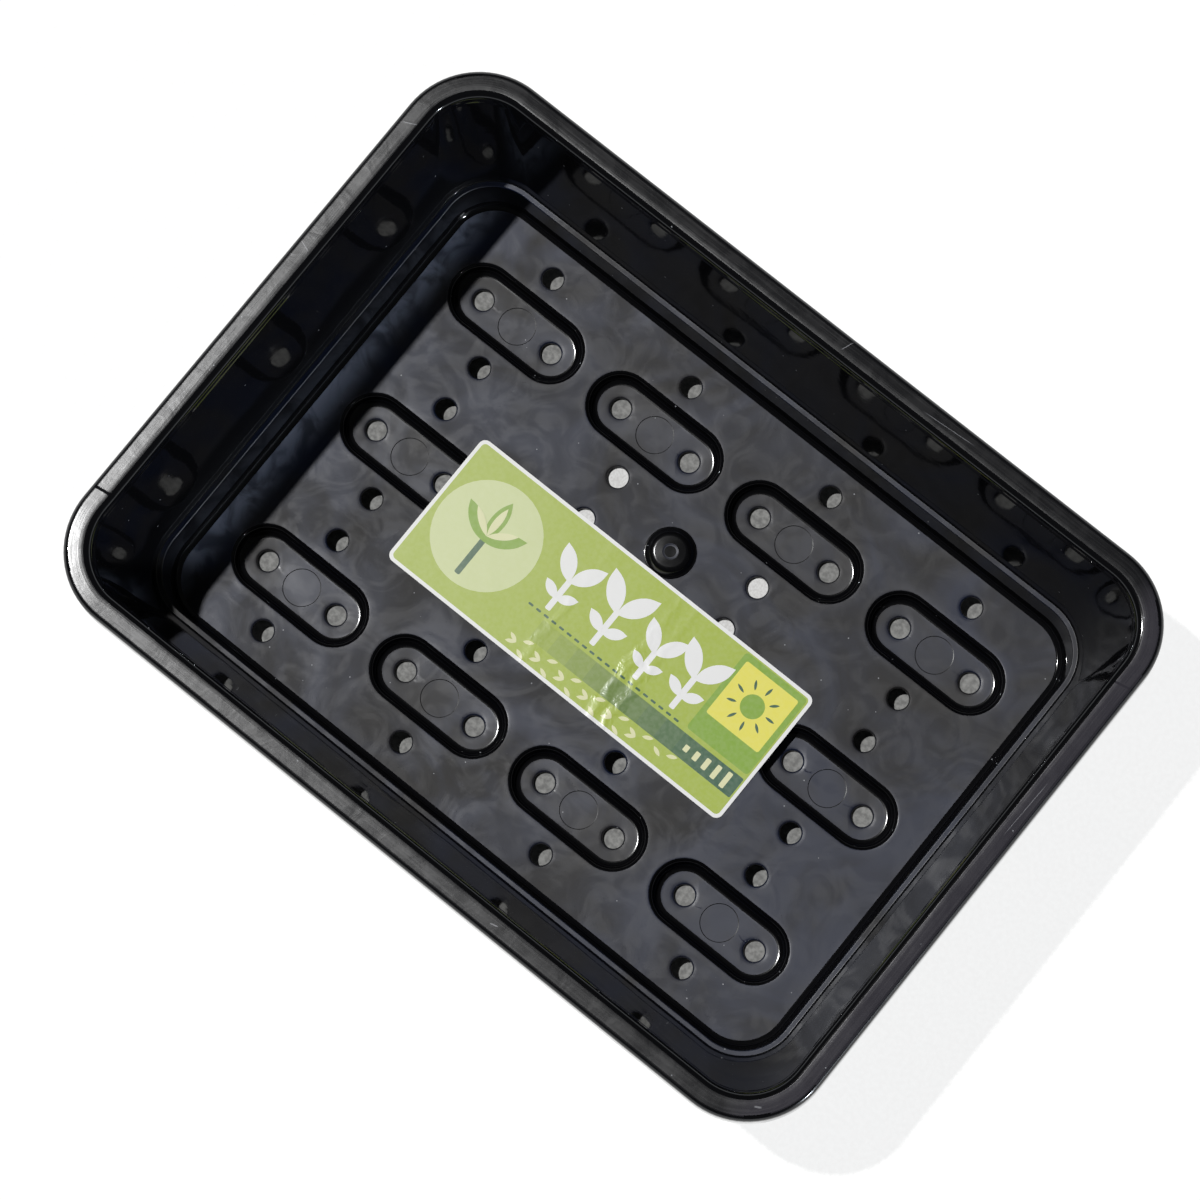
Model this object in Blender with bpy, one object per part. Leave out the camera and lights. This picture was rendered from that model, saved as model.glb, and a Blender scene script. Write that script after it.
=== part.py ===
"""Half-size seed tray: one black injection moulding with a printed label stuck to its floor.

Metres, +Z up. The origin is on the ground under the middle of the tray, with X along its length.
"""
import math

import bmesh
import bpy
from mathutils import Matrix, Vector

# Moulding as a whole
LENGTH = 0.230
WIDTH = 0.170
HEIGHT = 0.060
WALL = 0.0015

# Rim: a band that falls to both sides of a crown line, with a skirt turned down at its outer edge
RIM_WIDTH = 0.0069
RIM_CROWN = 0.0045
RIM_OUTER_FALL = 0.0003
RIM_INNER_FALL = 0.0002
RIM_CORNER = 0.022
RIM_OUTER_ROUND = 0.0016
RIM_INNER_ROUND = 0.0020
SKIRT_DEPTH = 0.0090
SKIRT_DRAFT = math.radians(2.0)

# Walls: a steep upper wall, a narrow ledge and a lower wall that meets the floor in a fillet
UPPER_DRAFT = math.radians(10.5)
LEDGE_HEIGHT = 0.0128
LEDGE_WIDTH = 0.0015
LEDGE_CORNER = 0.015
LEDGE_ROUND = 0.0005
LEDGE_ROUND_SHARE = 0.7
LOWER_DRAFT = math.radians(6.5)
FLOOR_CORNER = 0.013
FLOOR_FILLET = 0.0015

# Drainage cells: sunken obrounds whose undersides are the feet of the tray
CELL_COLUMNS = 4
CELL_ROWS = 3
CELL_GAP = 0.0046
CELL_WIDTH = 0.0187
CELL_DEPTH = 0.0040
CELL_DRAFT = math.radians(10.0)
CELL_TOP_ROUND = 0.0012
CELL_FILLET = 0.0010
END_STRIP = 0.0046
SIDE_STRIP = 0.0004
CELL_HOLE_DIAMETER = 0.0054
CELL_HOLE_FROM_END = 0.0093

# Floor holes: one on each side of every cell, this far across the strip between cell and lane edge
FLOOR_HOLE_DIAMETER = 0.0055
FLOOR_HOLE_PLACE = 0.45

# Gate dome: where the plastic entered the mould, hollow beneath, with a small crater on top
GATE_DIAMETER = 0.0125
GATE_HEIGHT = 0.0022
GATE_TOP_DIAMETER = 0.0060
GATE_CRATER_DIAMETER = 0.0026
GATE_CRATER_DEPTH = 0.0005

# Label on the floor and sticker under it
LABEL_LENGTH = 0.1086
LABEL_WIDTH = 0.0397
LABEL_CORNER = 0.0020
LABEL_THICKNESS = 0.0002
LABEL_SHIFT = Vector((-0.0019, -0.0044))
STICKER_LENGTH = 0.056
STICKER_MARGIN = 0.0017
STICKER_CORNER = 0.0015
STICKER_THICKNESS = 0.0002
ADHESIVE = 0.0001

# Facets and the reach of a cutter past the face that it cuts
CORNER_STEPS = 8
CELL_END_STEPS = 4
HOLE_SIDES = 12
ROUND_STEPS = 3
SMALL_ROUND_STEPS = 2
OVERCUT = 0.001
LIP = 0.0001

# Levels that the pieces share
FLOOR_TOP = WALL + CELL_DEPTH
FLOOR_UNDERSIDE = FLOOR_TOP - WALL
LEDGE_TOP = FLOOR_TOP + LEDGE_HEIGHT


def mitre_offset(corners, distance):
    """Shift a path of (inset, height, corner radius) points to its right-hand side.

    The rings stay concentric with those of the path, so a shell is equally thick round its corners.
    """
    sides = []
    for start, end in zip(corners, corners[1:]):
        along = (end - start).xy.normalized()
        sides.append(Vector((along.y, -along.x)))
    shifted = []
    for index, corner in enumerate(corners):
        before = sides[max(index - 1, 0)]
        after = sides[min(index, len(sides) - 1)]
        shift = (before + after) * distance / (1 + before.dot(after))
        shifted.append(corner + Vector((shift.x, shift.y, -shift.x)))
    return shifted


def rounded_path(corners, rounds, steps):
    """Round the inner corners of a path with arcs, and leave its two ends as they are."""
    points = [corners[0]]
    for index, radius in enumerate(rounds, start=1):
        corner = corners[index]
        to_start = corners[index - 1] - corner
        to_end = corners[index + 1] - corner
        turn = math.pi - to_start.xy.angle(to_end.xy)
        tangent = radius * math.tan(turn / 2)
        first = corner + to_start * (tangent / to_start.xy.length)
        last = corner + to_end * (tangent / to_end.xy.length)
        if radius <= 0:
            points.append(corner)
            continue
        middle = (to_start.xy.normalized() + to_end.xy.normalized()).normalized()
        centre = corner.xy + middle * (radius / math.cos(turn / 2))
        swing = (first.xy - centre).angle_signed(last.xy - centre)
        for step in range(steps + 1):
            share = step / steps
            spoke = (first.xy - centre) @ Matrix.Rotation(swing * share, 2)
            level = first.z + (last.z - first.z) * share
            points.append(Vector((*(centre + spoke), level)))
    points.append(corners[-1])
    return points


def rounded_ring(half_length, half_width, radius, height, steps, centre=(0.0, 0.0)):
    """Points of a level rounded rectangle, which is an obround or a circle at the largest radius."""
    points = []
    for quarter in range(4):
        sign_x = 1 if quarter in (0, 3) else -1
        sign_y = 1 if quarter in (0, 1) else -1
        hub_x = centre[0] + sign_x * (half_length - radius)
        hub_y = centre[1] + sign_y * (half_width - radius)
        for step in range(steps + 1):
            angle = (quarter + step / steps) * math.pi / 2
            points.append((hub_x + radius * math.cos(angle), hub_y + radius * math.sin(angle), height))
    return points


def add_loft(mesh, rings):
    """Add a closed solid through a stack of rings, capped at its first and last ring."""
    loops = []
    for ring in rings:
        loops.append([mesh.verts.new(point) for point in ring])
    for lower, upper in zip(loops, loops[1:]):
        for index in range(len(lower)):
            neighbour = index - 1
            mesh.faces.new((lower[neighbour], lower[index], upper[index], upper[neighbour]))
    mesh.faces.new(loops[0])
    mesh.faces.new(loops[-1])


def finish_object(name, mesh, collection, material=None):
    """Close the seams of a mesh, turn its faces outwards and put it in a collection."""
    bmesh.ops.remove_doubles(mesh, verts=mesh.verts, dist=1e-7)
    bmesh.ops.recalc_face_normals(mesh, faces=mesh.faces)
    data = bpy.data.meshes.new(name)
    mesh.to_mesh(data)
    mesh.free()
    piece = bpy.data.objects.new(name, data)
    collection.objects.link(piece)
    if material:
        data.materials.append(material)
    return piece


def finish_tool(name, mesh):
    """A solid that is only joined to the tray or cut from it."""
    tool = finish_object(name, mesh, tools)
    tool.hide_render = True
    tool.display_type = "WIRE"
    return tool


def combine(piece, tool, operation):
    step = piece.modifiers.new(tool.name, "BOOLEAN")
    step.operation = operation
    step.object = tool


def plastic_or_paper(name, colour, roughness):
    material = bpy.data.materials.new(name)
    material.use_nodes = True
    shader = material.node_tree.nodes["Principled BSDF"]
    shader.inputs["Base Color"].default_value = (*colour, 1.0)
    shader.inputs["Roughness"].default_value = roughness
    shader.inputs["Metallic"].default_value = 0.0
    material.diffuse_color = (*colour, 1.0)
    return material


def tray_section():
    """Corners of the upper skin, from the foot of the skirt over the rim and down to the floor."""
    outer_edge = HEIGHT - RIM_OUTER_FALL
    inner_edge = HEIGHT - RIM_INNER_FALL
    skirt_foot = HEIGHT - SKIRT_DEPTH
    skirt_run = (outer_edge - skirt_foot) * math.tan(SKIRT_DRAFT)
    ledge_inset = RIM_WIDTH + (inner_edge - LEDGE_TOP) * math.tan(UPPER_DRAFT)
    step_inset = ledge_inset + LEDGE_WIDTH
    floor_inset = step_inset + LEDGE_HEIGHT * math.tan(LOWER_DRAFT)
    return [
        Vector((0.0, skirt_foot, RIM_CORNER)),
        Vector((skirt_run, outer_edge, RIM_CORNER - skirt_run)),
        Vector((RIM_CROWN, HEIGHT, RIM_CORNER - RIM_CROWN)),
        Vector((RIM_WIDTH, inner_edge, RIM_CORNER - RIM_WIDTH)),
        Vector((ledge_inset, LEDGE_TOP, LEDGE_CORNER)),
        Vector((step_inset, LEDGE_TOP, LEDGE_CORNER - LEDGE_WIDTH)),
        Vector((floor_inset, FLOOR_TOP, FLOOR_CORNER)),
        Vector((floor_inset + FLOOR_CORNER / 2, FLOOR_TOP, FLOOR_CORNER / 2)),
    ]


def section_rounds(thickness):
    """Rounding of the section's inner corners, on the upper skin or on the skin below it.

    A corner that stands proud of the upper skin gets tighter below, and a hollow one gets wider,
    but under the ledge only as wide as the narrow ledge leaves room for.
    """
    return [
        max(RIM_OUTER_ROUND - thickness, 0.0),
        0.0,
        max(RIM_INNER_ROUND - thickness, 0.0),
        min(LEDGE_ROUND + thickness, LEDGE_WIDTH * LEDGE_ROUND_SHARE),
        max(LEDGE_ROUND - thickness, 0.0),
        FLOOR_FILLET + thickness,
    ]


def shell_rings():
    """Rings of the tray's shell, from the floor up over the rim and back along the underside."""
    section = tray_section()
    upper = rounded_path(section, section_rounds(0.0), ROUND_STEPS)[:-1]
    lower = rounded_path(mitre_offset(section, WALL), section_rounds(WALL), ROUND_STEPS)[:-1]
    rings = []
    for inset, height, corner in upper[::-1] + lower:
        half_length = LENGTH / 2 - inset
        half_width = WIDTH / 2 - inset
        rings.append(rounded_ring(half_length, half_width, corner, height, CORNER_STEPS))
    return rings


# The flat of the floor inside its fillet, and the grid of lanes and cells that divides it
FLOOR_INSET = tray_section()[-2].x + FLOOR_FILLET * math.tan((math.pi / 2 - LOWER_DRAFT) / 2)
FLOOR_LENGTH = LENGTH - 2 * FLOOR_INSET
FLOOR_WIDTH = WIDTH - 2 * FLOOR_INSET
CELL_PITCH = (FLOOR_LENGTH - 2 * END_STRIP) / CELL_COLUMNS
LANE_WIDTH = (FLOOR_WIDTH - 2 * SIDE_STRIP) / CELL_ROWS
CELL_LENGTH = CELL_PITCH - CELL_GAP
GATE_PLACE = (0.0, LANE_WIDTH / 2)


def cell_places():
    """Centres of the drainage cells, column by column."""
    for column in range(CELL_COLUMNS):
        for row in range(CELL_ROWS):
            across = column - (CELL_COLUMNS - 1) / 2
            along = row - (CELL_ROWS - 1) / 2
            yield Vector((across * CELL_PITCH, along * LANE_WIDTH))


def cell_section():
    """Corners of a cell's skin from the floor down its side, as insets from its top outline."""
    top_round = CELL_TOP_ROUND * math.tan((math.pi / 2 - CELL_DRAFT) / 2)
    side_run = CELL_DEPTH * math.tan(CELL_DRAFT)
    return [
        Vector((0.0, FLOOR_TOP, 0.0)),
        Vector((top_round, FLOOR_TOP, 0.0)),
        Vector((top_round + side_run, WALL, 0.0)),
        Vector((CELL_WIDTH / 2, WALL, 0.0)),
    ]


def add_cells(mesh, path):
    """Add an obround solid with the given side path at every cell's place."""
    for place in cell_places():
        rings = []
        for inset, height, _ in path:
            half_width = CELL_WIDTH / 2 - inset
            half_length = CELL_LENGTH / 2 - inset
            rings.append(rounded_ring(half_length, half_width, half_width, height, CELL_END_STEPS, place))
        add_loft(mesh, rings)


def make_feet():
    """Undersides of the cells, one wall thickness outside the recesses, rooted in the floor."""
    _, top, bottom, end = mitre_offset(cell_section(), WALL)
    root = bottom.lerp(top, (FLOOR_TOP - WALL / 2 - bottom.y) / (top.y - bottom.y))
    path = rounded_path([root, bottom, end], [CELL_FILLET + WALL], SMALL_ROUND_STEPS)[:-1]
    mesh = bmesh.new()
    add_cells(mesh, path)
    return finish_tool("feet", mesh)


def make_recesses():
    """Hollows of the cells, with a rounded edge that starts a lip's height above the floor."""
    corners = cell_section()
    corners[0].y += LIP
    corners[1].y += LIP
    path = rounded_path(corners, [CELL_TOP_ROUND, CELL_FILLET], SMALL_ROUND_STEPS)[1:-1]
    mesh = bmesh.new()
    add_cells(mesh, path)
    return finish_tool("recesses", mesh)


def add_drill(mesh, place, diameter, bottom, top):
    middle = Vector((place[0], place[1], (bottom + top) / 2))
    bmesh.ops.create_cone(mesh, cap_ends=True, segments=HOLE_SIDES, radius1=diameter / 2,
                          radius2=diameter / 2, depth=top - bottom, matrix=Matrix.Translation(middle))


def make_drills():
    """Two holes through the bottom of each cell and one through the floor on each side of it."""
    strip = (LANE_WIDTH - CELL_WIDTH) / 2
    beside = CELL_WIDTH / 2 + strip * FLOOR_HOLE_PLACE
    inside = CELL_LENGTH / 2 - CELL_HOLE_FROM_END
    mesh = bmesh.new()
    for place in cell_places():
        for side in (-1, 1):
            in_cell = place + Vector((side * inside, 0.0))
            in_floor = place + Vector((0.0, side * beside))
            add_drill(mesh, in_cell, CELL_HOLE_DIAMETER, -OVERCUT, WALL + OVERCUT)
            add_drill(mesh, in_floor, FLOOR_HOLE_DIAMETER, FLOOR_UNDERSIDE - OVERCUT, FLOOR_TOP + OVERCUT)
    return finish_tool("drills", mesh)


def gate_solid(name, levels):
    """Turned solid on the gate's axis through a list of (diameter, height) pairs."""
    rings = []
    for diameter, height in levels:
        radius = diameter / 2
        rings.append(rounded_ring(radius, radius, radius, height, CORNER_STEPS // 2, GATE_PLACE))
    mesh = bmesh.new()
    add_loft(mesh, rings)
    return finish_tool(name, mesh)


def make_gate_dome():
    """Dome with a rounded shoulder, a flat top and a crater left by the gate."""
    top = FLOOR_TOP + GATE_HEIGHT
    shoulder = GATE_DIAMETER - GATE_TOP_DIAMETER
    levels = [(GATE_DIAMETER, FLOOR_TOP - WALL / 2)]
    for step in range(ROUND_STEPS + 1):
        angle = step / ROUND_STEPS * math.pi / 2
        diameter = GATE_TOP_DIAMETER + shoulder * math.cos(angle)
        levels.append((diameter, FLOOR_TOP + LIP + (GATE_HEIGHT - LIP) * math.sin(angle)))
    levels.append((GATE_CRATER_DIAMETER, top))
    levels.append((GATE_CRATER_DIAMETER / 2, top - GATE_CRATER_DEPTH))
    return gate_solid("gate_dome", levels)


def make_gate_hollow():
    """Hollow under the dome that keeps its wall about as thick as the floor."""
    levels = [
        (GATE_DIAMETER - 2 * WALL, FLOOR_UNDERSIDE - OVERCUT),
        (GATE_DIAMETER - 2 * WALL, FLOOR_TOP - WALL / 2),
        (GATE_TOP_DIAMETER - WALL, FLOOR_TOP + GATE_HEIGHT - WALL),
    ]
    return gate_solid("gate_hollow", levels)


def make_tray(collection):
    black = plastic_or_paper("black_plastic", (0.012, 0.012, 0.014), 0.25)
    mesh = bmesh.new()
    add_loft(mesh, shell_rings())
    tray = finish_object("tray", mesh, collection, black)
    combine(tray, make_feet(), "UNION")
    combine(tray, make_recesses(), "DIFFERENCE")
    combine(tray, make_gate_dome(), "UNION")
    combine(tray, make_gate_hollow(), "DIFFERENCE")
    combine(tray, make_drills(), "DIFFERENCE")
    return tray


def make_sheet(name, collection, material, length, width, corner, thickness):
    """Thin sheet with rounded corners, lying on its own origin."""
    mesh = bmesh.new()
    rings = []
    for height in (0.0, thickness):
        rings.append(rounded_ring(length / 2, width / 2, corner, height, SMALL_ROUND_STEPS))
    add_loft(mesh, rings)
    return finish_object(name, mesh, collection, material)


def make_label(collection):
    print_green = plastic_or_paper("printed_film", (0.34, 0.50, 0.09), 0.35)
    label = make_sheet("label", collection, print_green,
                       LABEL_LENGTH, LABEL_WIDTH, LABEL_CORNER, LABEL_THICKNESS)
    label.location = (LABEL_SHIFT.x, LABEL_SHIFT.y, FLOOR_TOP + ADHESIVE)
    return label


def make_underside_sticker(collection):
    """Plain sticker under the gate dome, in the channel between two rows of feet."""
    white = plastic_or_paper("white_paper", (0.75, 0.75, 0.75), 0.6)
    foot_edge = mitre_offset(cell_section(), WALL)[1].x
    channel = LANE_WIDTH - CELL_WIDTH + 2 * foot_edge
    sticker = make_sheet("underside_sticker", collection, white, STICKER_LENGTH,
                         channel - 2 * STICKER_MARGIN, STICKER_CORNER, STICKER_THICKNESS)
    sticker.location = (*GATE_PLACE, FLOOR_UNDERSIDE - ADHESIVE - STICKER_THICKNESS)
    return sticker


for leftover in list(bpy.data.objects):
    bpy.data.objects.remove(leftover)
seed_tray = bpy.data.collections.new("seed_tray")
tools = bpy.data.collections.new("joined_and_cut_shapes")
bpy.context.scene.collection.children.link(seed_tray)
bpy.context.scene.collection.children.link(tools)

make_tray(seed_tray)
make_label(seed_tray)
make_underside_sticker(seed_tray)
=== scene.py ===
"""Looks of a half-size seed tray: one black plastic moulding with a printed label stuck to its floor.

Metres, +Z up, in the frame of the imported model: X along the tray, Y towards the gate dome's side.
"""
import math

import bmesh
import bpy
from mathutils import Matrix, Vector


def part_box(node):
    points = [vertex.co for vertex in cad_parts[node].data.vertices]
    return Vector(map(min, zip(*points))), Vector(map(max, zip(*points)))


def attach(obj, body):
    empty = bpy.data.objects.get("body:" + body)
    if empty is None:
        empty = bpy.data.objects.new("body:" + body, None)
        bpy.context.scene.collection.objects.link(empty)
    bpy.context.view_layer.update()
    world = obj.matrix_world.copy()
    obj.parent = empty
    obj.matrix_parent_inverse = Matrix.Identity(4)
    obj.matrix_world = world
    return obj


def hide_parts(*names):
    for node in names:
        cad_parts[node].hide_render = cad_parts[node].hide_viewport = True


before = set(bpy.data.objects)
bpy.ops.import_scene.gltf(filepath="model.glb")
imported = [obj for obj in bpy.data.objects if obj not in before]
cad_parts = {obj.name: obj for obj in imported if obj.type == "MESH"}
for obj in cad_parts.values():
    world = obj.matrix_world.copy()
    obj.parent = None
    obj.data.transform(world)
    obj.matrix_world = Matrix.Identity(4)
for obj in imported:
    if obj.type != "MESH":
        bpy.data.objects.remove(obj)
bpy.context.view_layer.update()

# Tray
# One injection moulding in black polypropylene. The mould's drafted walls are polished, while the faces
# that lie level are hazed and streaked by the flow of the plastic from the gate under the small dome.
# Meshes are shaped in millimetres and brought to metres when they are finished.
MM = 0.001
tray_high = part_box("tray")[1] / MM
HALF_LENGTH = tray_high.x
HALF_WIDTH = tray_high.y
RIM_TOP = tray_high.z
WALL = 1.5
FLOOR_TOP = 5.5
LEDGE_TOP = 18.3
UPPER_DRAFT = math.radians(10.5)
LOWER_DRAFT = math.radians(6.5)

SKIRT_DEPTH = 9.0
SKIRT_RUN = 0.3
RIM_WIDTH = 6.9
RIM_CROWN = 4.6
RIM_OUTER_FALL = 0.275
RIM_INNER_FALL = 0.15
LEDGE_WIDTH = 1.5
FLOOR_MARGIN = 3.2

# Corner radii in plan from the skirt's foot over the rim to the floor, and the roundings of the edges there.
# A hollow edge is rounder on the under skin than on the upper one, and a proud edge is tighter.
WALL_CORNERS = [22.0, 21.7, 17.4, 15.1, 15.0, 13.5, 13.0, 9.8]
WALL_ROUNDS = [1.6, 9.0, 2.0, 0.45, 0.3, 1.5]
UNDER_WALL_ROUNDS = [0.0, 0.3, 0.4, 1.0, 0.3, 2.9]

CELL_PITCH = 45.755
LANE_WIDTH = 43.81
CELL_LENGTH = 41.155
CELL_WIDTH = 18.7
CELL_DRAFT = math.radians(10.0)
CELL_TOP_ROUND = 1.2
CELL_ROUNDS = [CELL_TOP_ROUND, 1.9]
UNDER_CELL_ROUNDS = [0.3, 2.4]
CELL_APRON = 0.6
CELL_MARGIN = 2.2
CELL_END_SLACK = 0.01

CELL_HOLE_RADIUS = 2.7
CELL_HOLE_REACH = 11.28
FLOOR_HOLE_RADIUS = 2.75
FLOOR_HOLE_REACH = 15.0
HOLE_COLLAR = 1.2
HOLE_DISH = 0.14
HOLE_BRINK_ROUND = 0.5
OTHER_BRINK_ROUND = 0.18
EJECTOR_RADIUS = 5.0
EJECTOR_STEP = 0.2
EJECTOR_SINK = 0.06

# The gate dome's section, as insets from its foot's radius and heights above the floor.
GATE_CENTRE = Vector((0.0, LANE_WIDTH / 2))
GATE_RADIUS = 6.25
GATE_SECTION = ((-0.9, 0.0), (0.1, 0.0), (0.95, 1.6), (1.9, 2.2), (4.2, 2.3), (4.75, 2.08))
GATE_ROUNDS = [1.1, 1.0, 1.6, 0.35]
UNDER_GATE_ROUNDS = [0.3, 0.3]

CORNER_STEPS = 20
CELL_END_STEPS = 10
HOLE_SIDES = 40
CIRCLE_SIDES = 64
WALL_ROUND_STEPS = 8
SMALL_ROUND_STEPS = 6
BRINK_STEPS = 3
SHARP_TURN = math.radians(40)


def lowered(path, depth):
    """The path of a section, given as (inset, height) points, moved by the wall's depth to its underside."""
    sides = [(end - start).normalized() for start, end in zip(path, path[1:])]
    moved = []
    for index, point in enumerate(path):
        before = sides[max(index - 1, 0)]
        after = sides[min(index, len(sides) - 1)]
        across = Vector((before.y + after.y, -before.x - after.x))
        moved.append(point + across * depth / (1 + before.dot(after)))
    return moved


def rounded_loop(mesh, half_length, half_width, corner, height, centre, steps):
    """Edges of a level rounded rectangle: a plain rectangle whose four corners are bevelled."""
    spread = Matrix.Diagonal((half_length, half_width, 1.0, 1.0))
    place = Matrix.Translation((*centre, height)) @ spread
    known = set(mesh.faces)
    plate = bmesh.ops.create_grid(mesh, x_segments=1, y_segments=1, size=1.0, matrix=place)
    bmesh.ops.bevel(mesh, geom=plate["verts"], offset=corner, offset_type="OFFSET", segments=steps,
                    profile=0.5, affect="VERTICES", material=-1)
    made = [face for face in mesh.faces if face not in known]
    bmesh.ops.remove_doubles(mesh, verts=made[0].verts, dist=0.05)
    edges = list(made[0].edges)
    bmesh.ops.delete(mesh, geom=made, context="FACES_ONLY")
    return edges


def round_loop(mesh, radius, height, centre, steps):
    """Edges of a level circle."""
    made = bmesh.ops.create_circle(mesh, cap_ends=False, segments=steps, radius=radius,
                                   matrix=Matrix.Translation((*centre, height)))
    return list(dict.fromkeys(edge for vert in made["verts"] for edge in vert.link_edges))


def inset_loop(mesh, edges, width, sink=0.0):
    """A strip of faces inwards from a level loop, level or sunk. Returns its outer and its inner loop."""
    plate = bmesh.ops.edgeloop_fill(mesh, edges=edges)["faces"]
    strip = bmesh.ops.inset_region(mesh, faces=plate, thickness=width, use_boundary=True,
                                   use_even_offset=True)["faces"]
    bmesh.ops.translate(mesh, verts=plate[0].verts, vec=(0.0, 0.0, -sink))
    inner = list(plate[0].edges)
    inner_verts = set(plate[0].verts)
    sides = dict.fromkeys(edge for face in strip for edge in face.edges)
    outer = [edge for edge in sides if not inner_verts.intersection(edge.verts)]
    bmesh.ops.delete(mesh, geom=plate, context="FACES_ONLY")
    return outer, inner


def skin_along(mesh, path, make_loop):
    """Loops at the points of a section's path, with strips of faces between them."""
    loops = [make_loop(0)]
    for index in range(1, len(path)):
        run = path[index] - path[index - 1]
        if abs(run.y) < 1e-4:
            loops[-1:] = inset_loop(mesh, loops[-1], run.x)
        else:
            loops.append(make_loop(index))
            bmesh.ops.bridge_loops(mesh, edges=loops[-2] + loops[-1])
    return loops


def ease(mesh, edges, path, index, radius, steps):
    """Round one edge of a section to a radius, with the bevel width that its turn asks for."""
    start, corner, end = path[index - 1:index + 2]
    turn = (corner - start).angle(end - corner)
    bmesh.ops.bevel(mesh, geom=edges, offset=radius * math.tan(turn / 2), offset_type="OFFSET",
                    segments=steps, profile=0.5, affect="EDGES", material=-1, loop_slide=True)


def cell_centres():
    """Centres of the drainage cells, four columns of three."""
    for column in (-1.5, -0.5, 0.5, 1.5):
        for row in (-1, 0, 1):
            yield Vector((column * CELL_PITCH, row * LANE_WIDTH))


def wall_path():
    """Corners of the section from the foot of the skirt over the rim and down to the floor."""
    rim_inner = RIM_TOP - RIM_INNER_FALL
    ledge_inset = RIM_WIDTH + (rim_inner - LEDGE_TOP) * math.tan(UPPER_DRAFT)
    step_inset = ledge_inset + LEDGE_WIDTH
    floor_inset = step_inset + (LEDGE_TOP - FLOOR_TOP) * math.tan(LOWER_DRAFT)
    return [
        Vector((0.0, RIM_TOP - SKIRT_DEPTH)),
        Vector((SKIRT_RUN, RIM_TOP - RIM_OUTER_FALL)),
        Vector((RIM_CROWN, RIM_TOP)),
        Vector((RIM_WIDTH, rim_inner)),
        Vector((ledge_inset, LEDGE_TOP)),
        Vector((step_inset, LEDGE_TOP)),
        Vector((floor_inset, FLOOR_TOP)),
        Vector((floor_inset + FLOOR_MARGIN, FLOOR_TOP)),
    ]


def cell_path():
    """Corners of a cell's section from the floor round it, down its side and onto its bottom."""
    brink = CELL_TOP_ROUND * math.tan((math.pi / 2 - CELL_DRAFT) / 2)
    bottom = brink + (FLOOR_TOP - WALL) * math.tan(CELL_DRAFT)
    return [
        Vector((-CELL_APRON, FLOOR_TOP)),
        Vector((brink, FLOOR_TOP)),
        Vector((bottom, WALL)),
        Vector((bottom + CELL_MARGIN, WALL)),
    ]


def gate_path():
    """Corners of the gate dome's section from the floor round it to the crater on its top."""
    return [Vector((inset, FLOOR_TOP + height)) for inset, height in GATE_SECTION]


def add_skin(mesh, depth):
    """One skin of the moulding, at a depth under its upper face, with the drain holes left open.

    Returns the open loops: the foot of the skirt first, then the holes.
    """
    under = depth > 0
    upper_path = wall_path()
    path = lowered(upper_path, depth)

    def wall_loop(index):
        inset, height = path[index]
        corner = WALL_CORNERS[index] - (inset - upper_path[index].x)
        return rounded_loop(mesh, HALF_LENGTH - inset, HALF_WIDTH - inset, corner, height, (0.0, 0.0),
                            CORNER_STEPS)

    loops = skin_along(mesh, path, wall_loop)
    open_loops = [loops[0]]
    floor_edges = list(loops[-1])
    cell_loops = []
    discs = []
    section = lowered(cell_path(), depth)
    for centre in cell_centres():

        def cell_loop(index):
            inset, height = section[index]
            half_width = CELL_WIDTH / 2 - inset
            return rounded_loop(mesh, CELL_LENGTH / 2 - inset, half_width, half_width - CELL_END_SLACK,
                                height, centre, CELL_END_STEPS)

        rings = skin_along(mesh, section, cell_loop)
        cell_loops.append(rings)
        floor_edges += rings[0]
        bottom_edges = list(rings[-1])
        for side in (-1, 1):
            for offset, radius, height, edges in (
                (Vector((side * CELL_HOLE_REACH, 0.0)), CELL_HOLE_RADIUS, WALL - depth, bottom_edges),
                (Vector((0.0, side * FLOOR_HOLE_REACH)), FLOOR_HOLE_RADIUS, FLOOR_TOP - depth, floor_edges),
            ):
                collar = round_loop(mesh, radius + HOLE_COLLAR, height, centre + offset, HOLE_SIDES)
                collar, mouth = inset_loop(mesh, collar, HOLE_COLLAR, 0.0 if under else HOLE_DISH)
                edges += collar
                open_loops.append(mouth)
        pin = round_loop(mesh, EJECTOR_RADIUS, WALL - depth, centre, CIRCLE_SIDES)
        bmesh.ops.triangle_fill(mesh, use_beauty=True, edges=bottom_edges + pin, normal=(0, 0, 1))
        discs += bmesh.ops.edgeloop_fill(mesh, edges=pin)["faces"]
    dome_path = lowered(gate_path()[:4] if under else gate_path(), depth)

    def dome_loop(index):
        inset, height = dome_path[index]
        return round_loop(mesh, GATE_RADIUS - inset, height, GATE_CENTRE, CIRCLE_SIDES)

    dome = skin_along(mesh, dome_path, dome_loop)
    bmesh.ops.edgeloop_fill(mesh, edges=dome[-1])
    floor_edges += dome[0]
    bmesh.ops.triangle_fill(mesh, use_beauty=True, edges=floor_edges, normal=(0, 0, 1))

    if not under:
        for disc in discs:
            bmesh.ops.inset_region(mesh, faces=[disc], thickness=EJECTOR_STEP, depth=-EJECTOR_SINK)
    for index, radius in enumerate(UNDER_WALL_ROUNDS if under else WALL_ROUNDS, start=1):
        if radius > 0:
            ease(mesh, loops[index], path, index, radius, WALL_ROUND_STEPS)
    for rings in cell_loops:
        for index, radius in enumerate(UNDER_CELL_ROUNDS if under else CELL_ROUNDS, start=1):
            ease(mesh, rings[index], section, index, radius, SMALL_ROUND_STEPS)
    for index, radius in enumerate(UNDER_GATE_ROUNDS if under else GATE_ROUNDS, start=1):
        ease(mesh, dome[index], dome_path, index, radius, SMALL_ROUND_STEPS)
    return open_loops


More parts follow.
